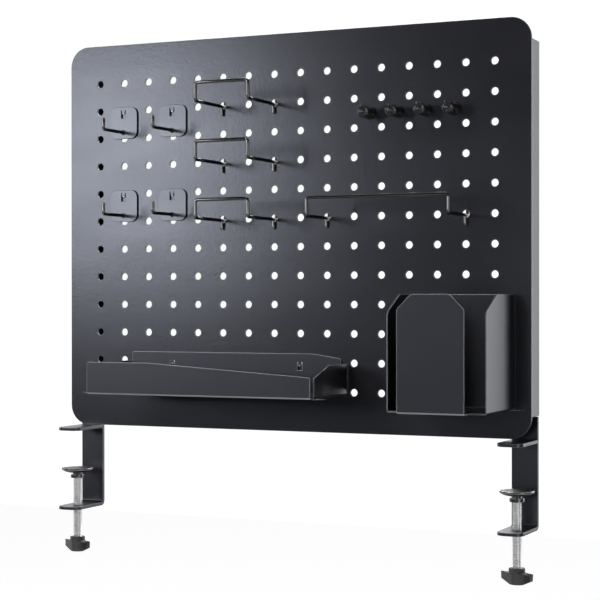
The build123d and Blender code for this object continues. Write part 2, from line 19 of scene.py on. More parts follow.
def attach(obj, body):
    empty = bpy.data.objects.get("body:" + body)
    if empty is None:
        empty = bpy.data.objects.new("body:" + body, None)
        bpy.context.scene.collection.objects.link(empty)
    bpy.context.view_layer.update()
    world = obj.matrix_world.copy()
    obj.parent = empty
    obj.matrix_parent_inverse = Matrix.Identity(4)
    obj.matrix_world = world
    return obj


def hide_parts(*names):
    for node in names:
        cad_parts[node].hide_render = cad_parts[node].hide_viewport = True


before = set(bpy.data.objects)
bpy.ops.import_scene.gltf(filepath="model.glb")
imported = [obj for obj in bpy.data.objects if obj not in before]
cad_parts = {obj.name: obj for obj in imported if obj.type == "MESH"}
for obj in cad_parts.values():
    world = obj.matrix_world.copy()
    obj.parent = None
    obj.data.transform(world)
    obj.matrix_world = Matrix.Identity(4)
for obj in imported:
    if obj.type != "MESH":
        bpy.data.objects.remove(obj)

LOG = logging.getLogger("pegboard_organizer")
# Marks the faces that take a lighter edge colour: a painted highlight along rounded edges and folds.
PAINTED_EDGE_MASK = "painted_edge_highlight"
MM = 0.001
# Corners this near to each other are one corner.
MERGE_MM = 0.003
# Edges sharper than this are cut edges, left rounded by press and coat.
SHARP_DEGREES = 40.0
# Edges sharper than this are shaded as sharp ones.
CREASE_DEGREES = 50.0
QUARTER_TURN = math.radians(90.0)
# Turns a form's +Z to the front.
TO_FRONT = Matrix.Rotation(QUARTER_TURN, 4, "X")
DOWN = Vector((0.0, 0.0, -1.0))
UP = Vector((0.0, 0.0, 1.0))
RIGHT = Vector((1.0, 0.0, 0.0))
FRONT = Vector((0.0, -1.0, 0.0))
REAR = Vector((0.0, 1.0, 0.0))

Triple = tuple[float, float, float]
Colour = Triple
Span = tuple[float, float]
Profile = Sequence[tuple[float, float]]
Bench = bmesh.types.BMesh
Socket = bpy.types.NodeSocket

# Most of a noise texture's values lie in this span.
NOISE_SPAN: Span = (0.3, 0.7)
WHOLE: Span = (0.0, 1.0)
# A mix node's colour sockets, by number, as their names come more than once.
MIX_FACTOR, MIX_LOW, MIX_HIGH, MIX_RESULT = 0, 6, 7, 2


class Side(Enum):
    """The two sides of the board, with their sign along X."""

    LEFT = -1
    RIGHT = 1

    @property
    def word(self) -> str:
        """The side's name, as the CAD nodes spell it."""
        return self.name.lower()


class NodeTree:
    """The node tree of a material or a world, with short calls for its nodes and links."""

    def __init__(self, owner: bpy.types.Material | bpy.types.World) -> None:
        owner.use_nodes = True
        self.nodes = owner.node_tree.nodes
        self.links = owner.node_tree.links

    def node(self, kind: str) -> bpy.types.Node:
        """A new node of that kind."""
        return self.nodes.new(kind)

    def feed(self, socket: Socket, value: object) -> None:
        """Links a socket to an output, or sets its own value.

        Args:
            socket: The input to feed.
            value: An output socket, a number or a colour.
        """
        if isinstance(value, Socket):
            self.links.new(value, socket)
        elif isinstance(value, tuple) and len(value) == 3:
            socket.default_value = (*value, 1.0)
        else:
            socket.default_value = value

    def maths(self, operation: str, *values: object) -> Socket:
        """The result of a math node.

        Args:
            operation: What the node does, in Blender's own word.
            values: Its inputs, each an output or a number.

        Returns:
            The result.
        """
        node = self.node("ShaderNodeMath")
        node.operation = operation
        for socket, value in zip(node.inputs, values):
            self.feed(socket, value)
        return node.outputs[0]

    def between(self, factor: Socket, span: Span, out: tuple[object, float]) -> Socket:
        """Maps one span of a factor to another.

        Args:
            factor: The factor to map.
            span: Its low and high end.
            out: The values at those ends; the low one may be an output.

        Returns:
            The mapped value, held within the two ends.
        """
        ranger = self.node("ShaderNodeMapRange")
        self.feed(ranger.inputs["Value"], factor)
        for name, value in zip(("From Min", "From Max", "To Min", "To Max"), (*span, *out)):
            self.feed(ranger.inputs[name], value)
        return ranger.outputs["Result"]


class Recipe(NodeTree):
    """A finish's node tree, with short calls for what the finishes share."""

    def __init__(self, name: str) -> None:
        self.material = bpy.data.materials.new(name)
        super().__init__(self.material)
        self.shader = self.nodes["Principled BSDF"]
        self.place = self.node("ShaderNodeTexCoord").outputs["Object"]

    def noise(self, grain_mm: float, detail: float = 2.0, scale: Triple | None = None) -> Socket:
        """Noise whose patches are about one grain across.

        Args:
            grain_mm: Size of a patch in millimetres.
            detail: Octaves of finer noise.
            scale: Factors on the coordinates along X, Y and Z, if they aren't all 1.

        Returns:
            The noise factor, from 0 to 1.
        """
        place = self.place
        if scale:
            mapping = self.node("ShaderNodeMapping")
            self.feed(mapping.inputs["Vector"], place)
            mapping.inputs["Scale"].default_value = scale
            place = mapping.outputs["Vector"]
        texture = self.node("ShaderNodeTexNoise")
        self.feed(texture.inputs["Vector"], place)
        texture.inputs["Scale"].default_value = 1.0 / (grain_mm * MM)
        texture.inputs["Detail"].default_value = detail
        return texture.outputs["Fac"]

    def uneven(self, noise: Socket, middle: float, spread: Span) -> Socket:
        """A roughness that wanders with a noise.

        Args:
            noise: The noise.
            middle: The finish's plain roughness.
            spread: How far it goes below that, as a negative number, and above it.

        Returns:
            The roughness.
        """
        below, above = spread
        return self.between(noise, NOISE_SPAN, (middle + below, middle + above))

    def blend(self, factor: Socket, low: object, high: object) -> Socket:
        """A colour between two others.

        Args:
            factor: 0 for the low colour and 1 for the high one.
            low: A colour or an output.
            high: A colour or an output.

        Returns:
            The mixed colour.
        """
        mixer = self.node("ShaderNodeMix")
        mixer.data_type = "RGBA"
        self.feed(mixer.inputs[MIX_FACTOR], factor)
        self.feed(mixer.inputs[MIX_LOW], low)
        self.feed(mixer.inputs[MIX_HIGH], high)
        return mixer.outputs[MIX_RESULT]

    def bump(self, height: Socket, depth_mm: float, under: Socket | None = None) -> Socket:
        """A bumped normal.

        Args:
            height: The relief, from 0 to 1.
            depth_mm: Its depth in millimetres.
            under: A normal that it is laid over.

        Returns:
            The normal.
        """
        node = self.node("ShaderNodeBump")
        node.inputs["Strength"].default_value = 1.0
        node.inputs["Distance"].default_value = depth_mm * MM
        self.feed(node.inputs["Height"], height)
        if under is not None:
            self.feed(node.inputs["Normal"], under)
        return node.outputs["Normal"]

    def on_edges(self) -> Socket:
        """1 on the faces marked for the painted edge highlight, the roundings of cut edges, and 0
        elsewhere.
        """
        attribute = self.node("ShaderNodeAttribute")
        attribute.attribute_type = "GEOMETRY"
        attribute.attribute_name = PAINTED_EDGE_MASK
        return attribute.outputs["Fac"]

    def set(self, **values: object) -> None:
        """Feeds the shader's sockets, named with underscores for spaces."""
        for name, value in values.items():
            self.feed(self.shader.inputs[name.replace("_", " ")], value)


def shaded(colour: Colour, factor: float) -> Colour:
    """The colour made lighter or darker by a factor."""
    red, green, blue = (channel * factor for channel in colour)
    return red, green, blue


@dataclass(frozen=True)
class Finish:
    """A finish with its name, colour and plain roughness."""

    name: str
    colour: Colour
    roughness: float

    def material(self) -> bpy.types.Material:
        """Builds the material.

        Returns:
            The finished material.
        """
        recipe = Recipe(self.name)
        self.feed(recipe)
        return recipe.material

    def feed(self, recipe: Recipe) -> None:
        """Feeds the shader, as each kind of finish does in its own way."""
        raise NotImplementedError


@dataclass(frozen=True)
class PowderCoat(Finish):
    """Baked powder on steel: orange-peel relief, faint clouding, and a painted highlight on rounded cut
    edges.
    """

    peel_mm: float = 2.2
    peel_depth_mm: float = 0.055
    # Lighter colour on the marked edge faces: a painted highlight.
    edge: Colour = (0.15, 0.153, 0.162)
    fleck_mm: float = 0.35
    edge_roughness: float = 0.2
    sheen_tint: Colour = (0.8, 0.85, 1.0)
    sheen_level: float = 0.68
    cloud_mm: float = 42.0
    cloud_shades: Span = (0.86, 1.14)
    fleck_span: Span = (0.62, 0.78)
    fleck_share: float = 0.35
    fleck_shade: float = 1.8
    fleck_depth_mm: float = 0.0015
    rub_mm: float = 38.0
    rub_scale: Triple = (0.35, 1.0, 1.0)
    rub_spread: Span = (-0.012, 0.016)

    def feed(self, recipe: Recipe) -> None:
        """Feeds the shader."""
        cloud = recipe.between(recipe.noise(self.cloud_mm, detail=3.0), NOISE_SPAN, WHOLE)
        clouded = recipe.blend(cloud, *(shaded(self.colour, shade) for shade in self.cloud_shades))
        grain = recipe.noise(self.fleck_mm, detail=1.0)
        fleck = recipe.between(grain, self.fleck_span, (0.0, self.fleck_share))
        flecked = recipe.blend(fleck, clouded, shaded(self.colour, self.fleck_shade))
        # Painted highlight: the marked edge faces take the lighter edge colour.
        recipe.set(Base_Color=recipe.blend(recipe.on_edges(), flecked, self.edge))
        rubbed = recipe.noise(self.rub_mm, detail=1.5, scale=self.rub_scale)
        worn = recipe.uneven(rubbed, self.roughness, self.rub_spread)
        recipe.set(Roughness=recipe.between(recipe.on_edges(), WHOLE, (worn, self.edge_roughness)))
        peel = recipe.bump(recipe.noise(self.peel_mm, detail=1.5), self.peel_depth_mm)
        recipe.set(Normal=recipe.bump(grain, self.fleck_depth_mm, peel))
        recipe.set(Specular_Tint=self.sheen_tint, Specular_IOR_Level=self.sheen_level)


@dataclass(frozen=True)
class PlatedMetal(Finish):
    """Plated steel: bright metal with faint tarnish clouds, fine drawing marks, and an edge colour on
    marked edge faces that is a painted highlight on dark metal.
    """

    tarnish: Colour
    # Colour of the marked edge faces; on dark metal it is a painted highlight.
    edge: Colour = (0.6, 0.6, 0.6)
    mark_mm: float = 1.5
    mark_depth_mm: float = 0.0003
    cloud_mm: float = 7.0
    cloud_span: Span = (0.35, 0.75)
    gloss_mm: float = 6.0
    gloss_spread: Span = (-0.02, 0.04)

    def feed(self, recipe: Recipe) -> None:
        """Feeds the shader."""
        cloud = recipe.between(recipe.noise(self.cloud_mm, detail=4.0), self.cloud_span, WHOLE)
        clouded = recipe.blend(cloud, self.colour, self.tarnish)
        # Painted highlight: the marked edge faces take the edge colour.
        recipe.set(Base_Color=recipe.blend(recipe.on_edges(), clouded, self.edge), Metallic=1.0)
        gloss = recipe.noise(self.gloss_mm)
        recipe.set(Roughness=recipe.uneven(gloss, self.roughness, self.gloss_spread))
        recipe.set(Normal=recipe.bump(recipe.noise(self.mark_mm, detail=1.0), self.mark_depth_mm))


@dataclass(frozen=True)
class MouldedPlastic(Finish):
    """Moulded plastic or rubber: a fine eroded grain with slightly uneven gloss."""

    grain_mm: float
    depth_mm: float
    coat: float = 0.0
    coat_roughness: float = 0.08
    cloud_mm: float = 5.0
    cloud_shades: Span = (0.85, 1.2)
    gloss_mm: float = 3.0
    gloss_spread: Span = (-0.04, 0.06)

    def feed(self, recipe: Recipe) -> None:
        """Feeds the shader."""
        cloud = recipe.between(recipe.noise(self.cloud_mm, detail=3.0), NOISE_SPAN, WHOLE)
        tones = (shaded(self.colour, shade) for shade in self.cloud_shades)
        recipe.set(Base_Color=recipe.blend(cloud, *tones))
        gloss = recipe.noise(self.gloss_mm, detail=3.0)
        recipe.set(Roughness=recipe.uneven(gloss, self.roughness, self.gloss_spread))
        recipe.set(Normal=recipe.bump(recipe.noise(self.grain_mm), self.depth_mm))
        recipe.set(Coat_Weight=self.coat, Coat_Roughness=self.coat_roughness)


class Look(Enum):
    """Every finish, after the record's material slot that it stands for."""

    PANEL = (
        "panel_powder_coat",
        PowderCoat("satin_black_panel_coat", (0.0085, 0.0084, 0.0098), 0.25),
    )
    CLAMP = (
        "clamp_powder_coat",
        PowderCoat("satin_black_clamp_coat", (0.0105, 0.0104, 0.012), 0.32),
    )
    ACCESSORY = (
        "accessory_powder_coat",
        PowderCoat(
            "fine_black_accessory_coat",
            (0.0088, 0.0087, 0.0102),
            0.37,
            peel_mm=0.9,
            peel_depth_mm=0.01,
            # Painted highlight on the edges and the front fold.
            edge=(0.28, 0.285, 0.3),
        ),
    )
    PLATE = (
        "accessory_powder_coat",
        PowderCoat(
            "smooth_black_plate_coat",
            (0.0125, 0.0128, 0.0145),
            0.235,
            peel_mm=0.9,
            peel_depth_mm=0.006,
            # A faint painted highlight on the plate's edges.
            edge=(0.02, 0.02, 0.023),
        ),
    )
    BLACK_STEEL = (
        "black_oxide_steel",
        PlatedMetal(
            # edge: a painted highlight on the rounded edges of pads, collars and screw heads.
            "blackened_steel", (0.1, 0.1, 0.105), 0.3, tarnish=(0.06, 0.058, 0.056), edge=(0.5, 0.5, 0.5)
        ),
    )
    ZINC = (
        "zinc_plate",
        PlatedMetal("bright_zinc_plate", (0.9, 0.905, 0.91), 0.42, tarnish=(0.82, 0.83, 0.82)),
    )
    KNOB = (
        "knob_plastic",
        MouldedPlastic("dark_grey_moulding", (0.034, 0.033, 0.036), 0.5, grain_mm=0.4, depth_mm=0.02),
    )
    LINER = (
        "liner_rubber",
        MouldedPlastic("black_liner_rubber", (0.014, 0.014, 0.0155), 0.45, grain_mm=0.6, depth_mm=0.02),
    )
    WIRE = (
        "black_nickel_wire",
        PlatedMetal("black_nickel", (0.17, 0.168, 0.166), 0.07, tarnish=(0.13, 0.128, 0.126)),
    )
    PIN = (
        "pin_plastic",
        MouldedPlastic(
            "glossy_black_moulding",
            (0.008, 0.008, 0.009),
            0.12,
            grain_mm=1.2,
            depth_mm=0.003,
            coat=0.5,
        ),
    )
    MAGNET = (
        "magnet_nickel",
        PlatedMetal("nickel_plate", (0.58, 0.57, 0.54), 0.2, tarnish=(0.45, 0.44, 0.41)),
    )

    @property
    def slot(self) -> str:
        """The record's material slot."""
        return self.value[0]

    @property
    def finish(self) -> Finish:
        """The finish, which makes its own material."""
        return self.value[1]


class Wardrobe:
    """Every finish's material, made once."""

    def __init__(self) -> None:
        self.materials = {look: look.finish.material() for look in Look}

    def dress(self, piece: bpy.types.Object, look: Look) -> None:
        """Gives a piece or a CAD node its material.

        Args:
            piece: The mesh object.
            look: Its finish.
        """
        piece.data.materials.clear()
        piece.data.materials.append(self.materials[look])


WARDROBE = Wardrobe()


def shown_piece(
    bench: Bench,
    name: str,
    body: str,
    look: Look,
    stands_for: Sequence[str] = (),
    crease: float = CREASE_DEGREES,
) -> None:
    """Turns a finished bmesh into a piece that rides on its body.

    Args:
        bench: The mesh on the bench, already in place.
        name: The piece's name.
        body: The CAD body that it moves with.
        look: Its finish.
        stands_for: The CAD nodes that it replaces.
        crease: Angle in degrees past which an edge stays sharp.
    """
    mesh = bpy.data.meshes.new(name)
    bench.to_mesh(mesh)
    bench.free()
    mesh.shade_smooth()
    mesh.set_sharp_from_angle(angle=math.radians(crease))
    piece = bpy.data.objects.new(name, mesh)
    bpy.context.scene.collection.objects.link(piece)
    flats = piece.modifiers.new("flat_faces_stay_flat", "WEIGHTED_NORMAL")
    flats.keep_sharp = True
    WARDROBE.dress(piece, look)
    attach(piece, body)
    if stands_for:
        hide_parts(*stands_for)
    LOG.info("made %s on %s", name, body)


def merge(bench: Bench) -> None:
    """Merges the corners that all but touch."""
    bmesh.ops.remove_doubles(bench, verts=bench.verts, dist=MERGE_MM * MM)


def flatten(bench: Bench, degrees: float) -> None:
    """Dissolves the edges between faces that meet at less than that angle."""
    limit = math.radians(degrees)
    bmesh.ops.dissolve_limit(bench, angle_limit=limit, verts=bench.verts, edges=bench.edges)


def sharp_edges(bench: Bench, degrees: float = SHARP_DEGREES) -> list[bmesh.types.BMEdge]:
    """The edges between two faces that meet at more than that angle."""
    limit = math.radians(degrees)
    return [edge for edge in bench.edges if edge.is_manifold and edge.calc_face_angle() > limit]


def ease(bench: Bench, edges: Iterable[bmesh.types.BMEdge], width_mm: float, segments: int = 2) -> None:
    """Rounds edges, and marks the roundings for the finishes' painted edge highlight.

    Args:
        bench: The mesh.
        edges: The edges to round.
        width_mm: How far the rounding reaches on each side.
        segments: Facets across it.
    """
    mark = bench.faces.layers.float.get(PAINTED_EDGE_MASK) or bench.faces.layers.float.new(PAINTED_EDGE_MASK)
    rounded = bmesh.ops.bevel(
        bench,
        geom=list(edges),
        offset=width_mm * MM,
        offset_type="OFFSET",
        segments=segments,
        profile=0.5,
        affect="EDGES",
        clamp_overlap=False,
        material=-1,
    )
    for face in rounded["faces"]:
        face[mark] = 1.0


def eased_copy(node: str, width_mm: float, flat_degrees: float = 0.5) -> Bench:
    """A copy of a CAD node with its cut edges rounded, as a press and a coat leave them.

    Args:
        node: The CAD node.
        width_mm: The width of the rounding.
        flat_degrees: Faces that meet at less than this become one.

    Returns:
        The mesh on the bench.
    """
    bench = bmesh.new()
    bench.from_mesh(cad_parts[node].data)
    merge(bench)
    flatten(bench, flat_degrees)
    ease(bench, sharp_edges(bench), width_mm)
    return bench


def turned(profile: Profile, facets: int = 64) -> Bench:
    """A closed form turned about the Z axis.

    Args:
        profile: (radius, height) points in millimetres, in order, from axis to axis.
        facets: Facets round the form.

    Returns:
        The mesh on the bench.
    """
    bench = bmesh.new()
    corners = [bench.verts.new((radius * MM, 0.0, height * MM)) for radius, height in profile]
    edges = [bench.edges.new(pair) for pair in zip(corners, corners[1:])]
    if profile[0][0] > 0.0:
        edges.append(bench.edges.new((corners[-1], corners[0])))
    bmesh.ops.spin(
        bench,
        geom=corners + edges,
        cent=(0.0, 0.0, 0.0),
        axis=UP,
        dvec=(0.0, 0.0, 0.0),
        angle=math.tau,
        steps=facets,
        use_merge=True,
        use_duplicate=False,
    )
    merge(bench)
    bmesh.ops.recalc_face_normals(bench, faces=bench.faces)
    return bench


def placed(bench: Bench, place: Matrix) -> Bench:
    """The mesh moved to its place."""
    bmesh.ops.transform(bench, matrix=place, verts=bench.verts)
    return bench


def joined(benches: Iterable[Bench]) -> Bench:
    """Several meshes as one, each of them freed."""
    whole = bmesh.new()
    for bench in benches:
        carrier = bpy.data.meshes.new("carrier")
        bench.to_mesh(carrier)
        bench.free()
        whole.from_mesh(carrier)
        bpy.data.meshes.remove(carrier)
    return whole


class BentWire:
    """A round wire, drawn out and bent from one end to the other."""

    ring_facets: int = 20
    bend_steps: int = 8

    def __init__(self, start: Vector, heading: Vector, diameter: float, end_ease: float = 0.5) -> None:
        self.bench = bmesh.new()
        self.at = start * MM
        self.heading = heading.normalized()
        self.radius = diameter / 2 * MM
        self.ease = end_ease * MM
        place = Matrix.Translation(self.at) @ self.heading.to_track_quat("Z", "Y").to_matrix().to_4x4()
        disc = bmesh.ops.create_circle(
            self.bench,
            cap_ends=True,
            segments=self.ring_facets,
            radius=self.radius - self.ease,
            matrix=place,
        )
        self.ring = list(dict.fromkeys(edge for vert in disc["verts"] for edge in vert.link_edges))
        self._draw(self.ease, self.radius / (self.radius - self.ease))

    def _draw(self, length: float, growth: float = 1.0) -> None:
        """Draws the wire on along its heading, growing or shrinking it."""
        drawn = bmesh.ops.extrude_edge_only(self.bench, edges=self.ring)["geom"]
        verts = [item for item in drawn if isinstance(item, bmesh.types.BMVert)]
        edges = [item for item in drawn if isinstance(item, bmesh.types.BMEdge)]
        ends = set(verts)
        self.ring = [edge for edge in edges if set(edge.verts) <= ends]
        bmesh.ops.translate(self.bench, verts=verts, vec=self.heading * length)
        self.at = self.at + self.heading * length
        if growth != 1.0:
            centre = Matrix.Translation(-self.at)
            bmesh.ops.scale(self.bench, verts=verts, vec=(growth,) * 3, space=centre)

    def run(self, length: float) -> "BentWire":
        """Draws a straight run of that length in millimetres."""
        self._draw(length * MM)
        return self

    def bend(self, towards: Vector, radius: float) -> "BentWire":
        """Bends the wire by a quarter turn.

        Args:
            towards: The direction in which the bend's centre lies.
            radius: The bend's radius at the wire's middle, in millimetres.

        Returns:
            The wire itself, for the next move.
        """
        centre = self.at + towards * (radius * MM)
        axis = self.heading.cross(towards)
        spun = bmesh.ops.spin(
            self.bench,
            geom=self.ring,
            cent=centre,
            axis=axis,
            dvec=(0.0, 0.0, 0.0),
            angle=QUARTER_TURN,
            steps=self.bend_steps,
            use_merge=False,
            use_duplicate=False,
        )
        self.ring = [item for item in spun["geom_last"] if isinstance(item, bmesh.types.BMEdge)]
        turn = Matrix.Rotation(QUARTER_TURN, 3, axis)
        self.at = centre + turn @ (self.at - centre)
        self.heading = turn @ self.heading
        return self

    def cut(self) -> Bench:
        """Ends the wire with a filed rim.

        Returns:
            The mesh on the bench.
        """
        self._draw(self.ease, (self.radius - self.ease) / self.radius)
        bmesh.ops.edgeloop_fill(self.bench, edges=self.ring)
        bmesh.ops.recalc_face_normals(self.bench, faces=self.bench.faces)
        return self.bench


@dataclass
class PegGrid:
    """Where the peg holes are, in millimetres."""

    pitch: float = 25.4
    columns: int = 16
    rows: int = 12
    middle_z: float = 179.5
    front_y: float = -18.4
    rear_y: float = -16.4

    def x(self, column: float) -> float:
        """X of a column, counted from 0 at the left."""
        return (column - (self.columns - 1) / 2) * self.pitch

    def z(self, row: float) -> float:
        """Z of a row, counted from 0 at the top."""
        return self.middle_z + ((self.rows - 1) / 2 - row) * self.pitch


GRID = PegGrid()


@dataclass
class Board:
    """The pegboard panel, its two side channels and the screws in them."""

    body: str = "board"
    half_width: float = 222.25
    foot_z: float = 4.5
    top_z: float = 354.5
    corner_radius: float = 18.0
    corner_steps: int = 8
    hole_radius: float = 3.2
    hole_facets: int = 24
    rim_ease: float = 0.35
    screw_ease: float = 0.3

    def _cell(self, column: int, row: int) -> list[Profile]:
        """The four faces between one hole and the square round it, as (x, z) points."""
        x, z = GRID.x(column), GRID.z(row)
        reach = GRID.pitch / math.sqrt(2)
        quarter = self.hole_facets // 4
        faces = []
        for side in range(4):
            corners = [(reach, side), (reach, side + 1)]
            rim = [(self.hole_radius, side + step / quarter) for step in range(quarter, -1, -1)]
            turns = [(radius, math.radians(45.0 + 90.0 * turn)) for radius, turn in corners + rim]
            faces.append([(x + r * math.cos(angle), z + r * math.sin(angle)) for r, angle in turns])
        return faces

    def _border(self, side: int) -> Profile:
        """The face between the grid of cells and one side of the outline, as (x, z) points."""
        last_column, last_row = GRID.columns - 0.5, GRID.rows - 0.5
        grid_corners = ((-0.5, last_row), (last_column, last_row), (last_column, -0.5), (-0.5, -0.5))
        (from_column, from_row), (to_column, to_row) = grid_corners[side], grid_corners[(side + 1) % 4]
        count = GRID.columns if side % 2 == 0 else GRID.rows
        inner = []
        for step in range(count, -1, -1):
            share = step / count
            column = from_column + (to_column - from_column) * share
            inner.append((GRID.x(column), GRID.z(from_row + (to_row - from_row) * share)))
        span_x = self.half_width - self.corner_radius
        low, high = self.foot_z + self.corner_radius, self.top_z - self.corner_radius
        centres = ((-span_x, low), (span_x, low), (span_x, high), (-span_x, high))
        outer = []
        for centre, first in ((centres[side], side - 1.5), (centres[(side + 1) % 4], side - 1.0)):
            for step in range(self.corner_steps + 1):
                angle = math.radians(90.0 * (first + 0.5 * step / self.corner_steps))
                x = centre[0] + self.corner_radius * math.cos(angle)
                outer.append((x, centre[1] + self.corner_radius * math.sin(angle)))
        return outer + inner

    def _sheet(self) -> Bench:
        """The punched sheet: cells round the holes, a border, and rounded rims.

        Returns:
            The mesh on the bench.
        """
        bench = bmesh.new()
        outlines = [self._border(side) for side in range(4)]
        for row in range(GRID.rows):
            for column in range(GRID.columns):
                outlines += self._cell(column, row)
        for outline in outlines:
            bench.faces.new([bench.verts.new((x * MM, GRID.front_y * MM, z * MM)) for x, z in outline])
        merge(bench)
        drawn = bmesh.ops.extrude_face_region(bench, geom=bench.faces[:])["geom"]
        rear = [item for item in drawn if isinstance(item, bmesh.types.BMVert)]
        bmesh.ops.translate(bench, verts=rear, vec=REAR * (GRID.rear_y - GRID.front_y) * MM)
        bmesh.ops.recalc_face_normals(bench, faces=bench.faces)
        ease(bench, sharp_edges(bench), self.rim_ease)
        return bench

    def build(self) -> None:
        """Draws the panel, rounds the screws' edges and dresses the channels."""
        shown_piece(self._sheet(), "pegboard_sheet", self.body, Look.PANEL, ["pegboard_panel"])
        for side in Side:
            WARDROBE.dress(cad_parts[f"{side.word}_side_channel"], Look.PANEL)
        screws = eased_copy("bracket_screws", self.screw_ease)
        shown_piece(screws, "bracket_screw_heads", self.body, Look.BLACK_STEEL, ["bracket_screws"])


@dataclass
class DeskClamp:
    """One clamp: bracket, upper jaw, swivel pad, threaded screw and knob."""

    side: Side
    pad_drop: float
    knob_angle: float
    axis_x: float = 211.75
    axis_y: float = -24.8
    cut_edge_ease: float = 0.45
    pad_ease: float = 0.35
    collar_ease: float = 0.4
    thread_pitch: float = 1.25
    thread_major: float = 4.0
    thread_minor: float = 3.3
    thread_flanks: Triple = (0.25, 0.5625, 0.6875)
    thread_facets: int = 24
    thread_spare_turns: int = 2
    thread_crease: float = 25.0
    button_facets: int = 32
    thread_top: float = -9.4
    thread_foot: float = -72.4
    knob_top: float = -63.7
    hub_radius: float = 6.8
    hub_height: float = 3.7
    knob_height: float = 13.6
    foot_radius: float = 6.0
    tip_reach: float = 16.2
    tip_width: float = 3.8
    tip_top: float = -4.4
    tip_foot: float = -9.3
    bore_radius: float = 4.15
    knob_facets: int = 32
    knob_flat_degrees: float = 1.0
    knob_sharp_degrees: float = 24.0
    knob_ease: float = 0.55
    knob_ease_segments: int = 3
    pad_profile: Profile = (
        (2.55, -4.2),
        (8.5, -4.2),
        (11.4, -3.4),
        (13.4, -2.3),
        (14.5, -1.5),
        (14.5, 0.0),
        (12.6, 0.0),
        (12.6, -1.2),
        (4.8, -1.2),
        (4.8, -2.9),
        (2.55, -2.9),
    )
    liner_profile: Profile = ((0.0, -1.2), (12.5, -1.2), (12.5, -0.1), (11.3, 0.0), (0.0, 0.0))
    collar_profile: Profile = (
        (3.45, -9.4),
        (6.2, -9.4),
        (6.2, -6.2),
        (4.3, -6.2),
        (4.3, -4.5),
        (3.45, -4.5),
    )
    button_profile: Profile = (
        (0.0, -9.6),
        (3.3, -9.6),
        (3.3, -4.5),
        (2.5, -4.5),
        (2.5, -2.6),
        (4.5, -2.6),
        (4.5, -1.5),
        (0.0, -1.5),
    )

    @property
    def place(self) -> Matrix:
        """The clamp's axis, at the pad's top."""
        at = Vector((self.side.value * self.axis_x, self.axis_y, -self.pad_drop))
        return Matrix.Translation(at * MM)

    def _node(self, part: str) -> str:
        """The CAD node of one of this clamp's parts."""
        return f"{self.side.word}_{part}"

    def _show(
        self, bench: Bench, name: str, body: str, look: Look, part: str, crease: float = CREASE_DEGREES
    ) -> None:
        """Shows a piece of this clamp, with every name given without the side.

        Args:
            bench: The mesh on the bench, already in place.
            name: The piece's name.
            body: The CAD body that it moves with.
            look: Its finish.
            part: The CAD node that it replaces.
            crease: Angle in degrees past which an edge stays sharp.
        """
        shown_piece(bench, self._node(name), self._node(body), look, [self._node(part)], crease)

    def _bracket(self) -> None:
        """Bracket and upper jaw, with a painted highlight on their rounded cut edges."""
        for part, name in (("clamp_bracket", "bracket_plate"), ("upper_jaw", "jaw_plate")):
            bench = eased_copy(self._node(part), self.cut_edge_ease)
            shown_piece(bench, self._node(name), "board", Look.CLAMP, [self._node(part)])

    def _pad(self) -> None:
        """The dished pad and its liner."""
        cup = turned(self.pad_profile)
        ease(cup, sharp_edges(cup), self.pad_ease)
        self._show(placed(cup, self.place), "pad_dish", "pad", Look.BLACK_STEEL, "pad_cup")
        liner = placed(turned(self.liner_profile), self.place)
        self._show(liner, "pad_face", "pad", Look.LINER, "pad_liner")

    def _thread(self) -> Bench:
        """The screw's thread, one pitch of its profile spun down the rod.

        Returns:
            The mesh on the bench, closed at both ends.
        """
        bench = bmesh.new()
        pitch = self.thread_pitch
        root_end, crest_start, crest_end = (share * pitch for share in self.thread_flanks)
        shape = (
            (self.thread_minor, 0.0),
            (self.thread_minor, root_end),
            (self.thread_major, crest_start),
            (self.thread_major, crest_end),
            (self.thread_minor, pitch),
        )
        low = self.thread_foot - pitch
        verts = [bench.verts.new((radius * MM, 0.0, (low + rise) * MM)) for radius, rise in shape]
        edges = [bench.edges.new(pair) for pair in zip(verts, verts[1:])]
        turns = math.ceil((self.thread_top - self.thread_foot) / pitch) + self.thread_spare_turns
        bmesh.ops.spin(
            bench,
            geom=verts + edges,
            cent=(0.0, 0.0, 0.0),
            axis=UP,
            dvec=(0.0, 0.0, pitch / self.thread_facets * MM),
            angle=math.tau * turns,
            steps=self.thread_facets * turns,
            use_merge=False,
            use_duplicate=False,
        )
        merge(bench)
        for height, facing in ((self.thread_top, UP), (self.thread_foot, DOWN)):
            bmesh.ops.bisect_plane(
                bench,
                geom=bench.verts[:] + bench.edges[:] + bench.faces[:],
                plane_co=(0.0, 0.0, height * MM),
                plane_no=facing,
                clear_outer=True,
            )
        rims = [edge for edge in bench.edges if edge.is_boundary]
        bmesh.ops.holes_fill(bench, edges=rims)
        bmesh.ops.recalc_face_normals(bench, faces=bench.faces)
        return bench

